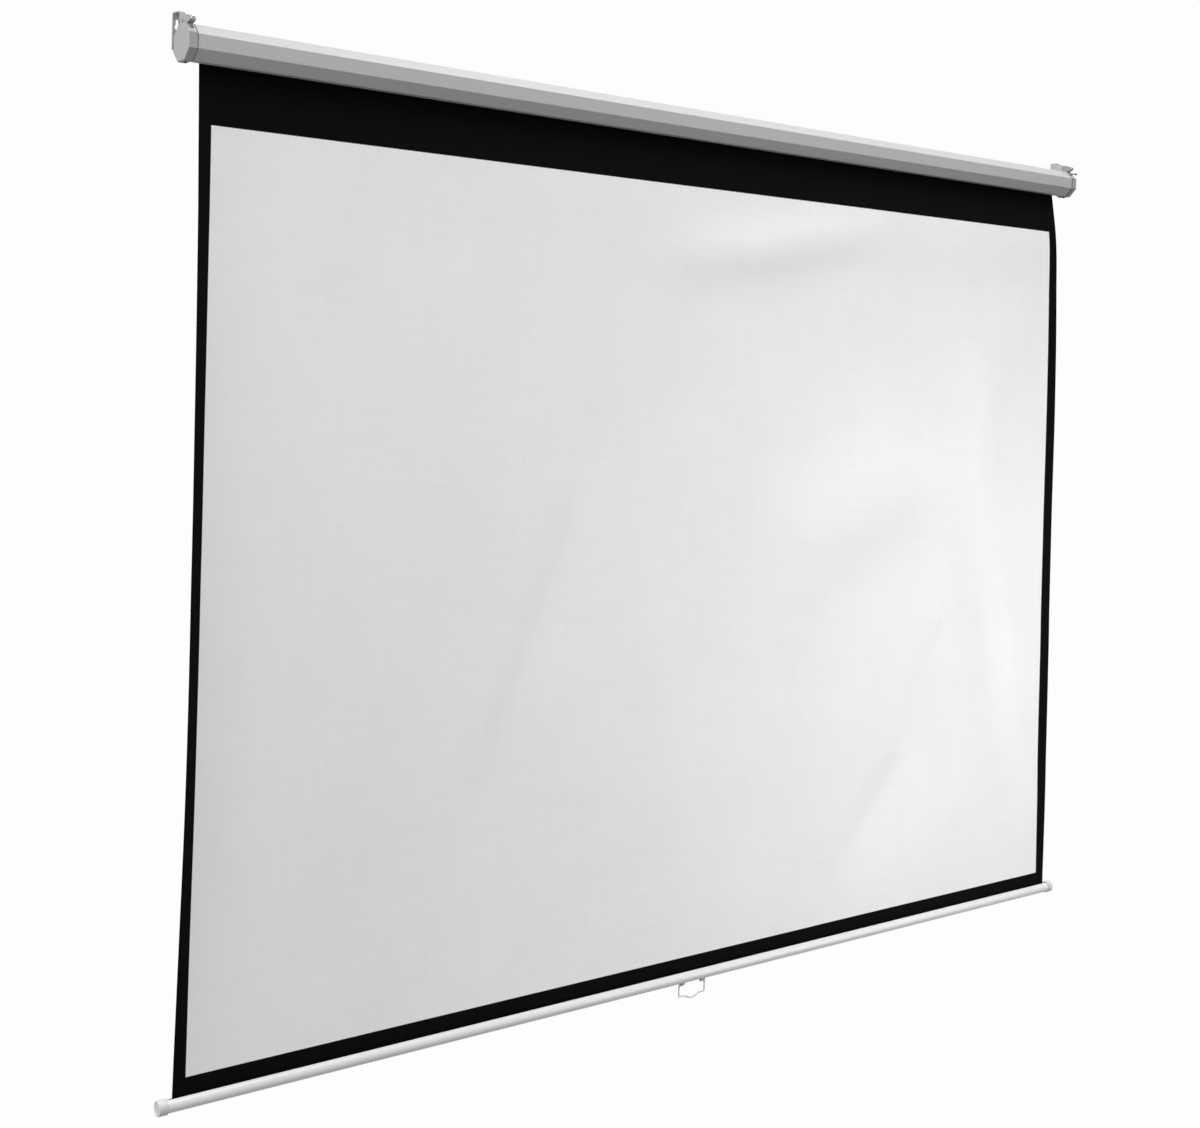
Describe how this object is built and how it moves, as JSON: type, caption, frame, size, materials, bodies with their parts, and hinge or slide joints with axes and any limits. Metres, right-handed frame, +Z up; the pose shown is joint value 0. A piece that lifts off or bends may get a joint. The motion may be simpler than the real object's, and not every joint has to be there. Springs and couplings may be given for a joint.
{
  "type": "projector screen",
  "caption": "Manual pull-down projector screen: white case with end caps and wall brackets, spring roller, bordered cloth, bottom bar and pull handle.",
  "frame": {"origin": "in the wall plane, midway between the two wall brackets, level with the centre line of the case", "axes": "+X along the case to the viewer's right, +Y into the wall, +Z up; the cloth hangs down along -Z"},
  "size_m": [2.5978, 0.0725, 2.014],
  "materials": {
    "white_steel": "satin white paint",
    "bracket_steel": "satin grey-white paint",
    "white_plastic": "moulded, satin",
    "black_screw": "black",
    "zinc_steel": "zinc plated",
    "nylon": "natural",
    "spring_steel": "oiled",
    "cloth": "matt white with black borders and leader",
    "handle_wire": "plastic coated wire"
  },
  "bodies": {
    "case": {"case_shell": "white_steel", "end_bracket_left": "bracket_steel", "end_bracket_right": "bracket_steel", "end_cap_left": "white_plastic", "end_cap_right": "white_plastic", "cap_screw_left_upper": "black_screw", "cap_screw_left_lower": "black_screw", "cap_screw_right_upper": "black_screw", "cap_screw_right_lower": "black_screw", "ear_screw_left": "black_screw", "ear_screw_right": "black_screw", "cap_pin_right": "black_screw", "idle_bush": "nylon", "spear_axle": "zinc_steel", "ratchet_sleeve": "spring_steel", "spring_mandrel": "nylon", "torsion_spring": "spring_steel", "screen_fabric": "cloth"},
    "roller": {"roller_tube": "zinc_steel", "fabric_wraps": "cloth", "idle_plug": "nylon", "gudgeon_pin": "zinc_steel", "spring_anchor": "nylon", "pawl_carrier": "nylon", "pawl_pin_a": "zinc_steel", "pawl_pin_b": "zinc_steel"},
    "pawl_a": {"pawl_a": "spring_steel"},
    "pawl_b": {"pawl_b": "spring_steel"},
    "bottom_bar": {"bar_tube": "white_steel", "bar_cap_left": "white_plastic", "bar_cap_right": "white_plastic", "hem_rod": "zinc_steel", "handle_clip_left": "white_plastic", "handle_clip_right": "white_plastic"},
    "handle": {"pull_handle": "handle_wire"}
  },
  "joints": [
    {"name": "bar_lift", "type": "slide", "parent": "case", "child": "bottom_bar", "axis": [0, 0, 1], "range_m": [0, 1.8549], "deforming": ["screen_fabric"]},
    {"name": "roller_turn", "type": "hinge", "parent": "case", "child": "roller", "pos_m": [0, -0.04372, 0.0015], "axis": [1, 0, 0], "range_deg": [0, 4680]},
    {"name": "pawl_a_swing", "type": "hinge", "parent": "roller", "child": "pawl_a", "pos_m": [1.2617, -0.04372, 0.0141], "axis": [1, 0, 0], "range_deg": [0, 12]},
    {"name": "pawl_b_swing", "type": "hinge", "parent": "roller", "child": "pawl_b", "pos_m": [1.2617, -0.04372, -0.0111], "axis": [1, 0, 0], "range_deg": [0, 12]},
    {"name": "handle_swing", "type": "hinge", "parent": "bottom_bar", "child": "handle", "pos_m": [-0.01, -0.024, -1.9194], "axis": [1, 0, 0], "range_deg": [-80, 80]}
  ],
  "couplings": [
    {"joint": "roller_turn", "follows": "bar_lift", "rad_per_m": 44.035}
  ]
}
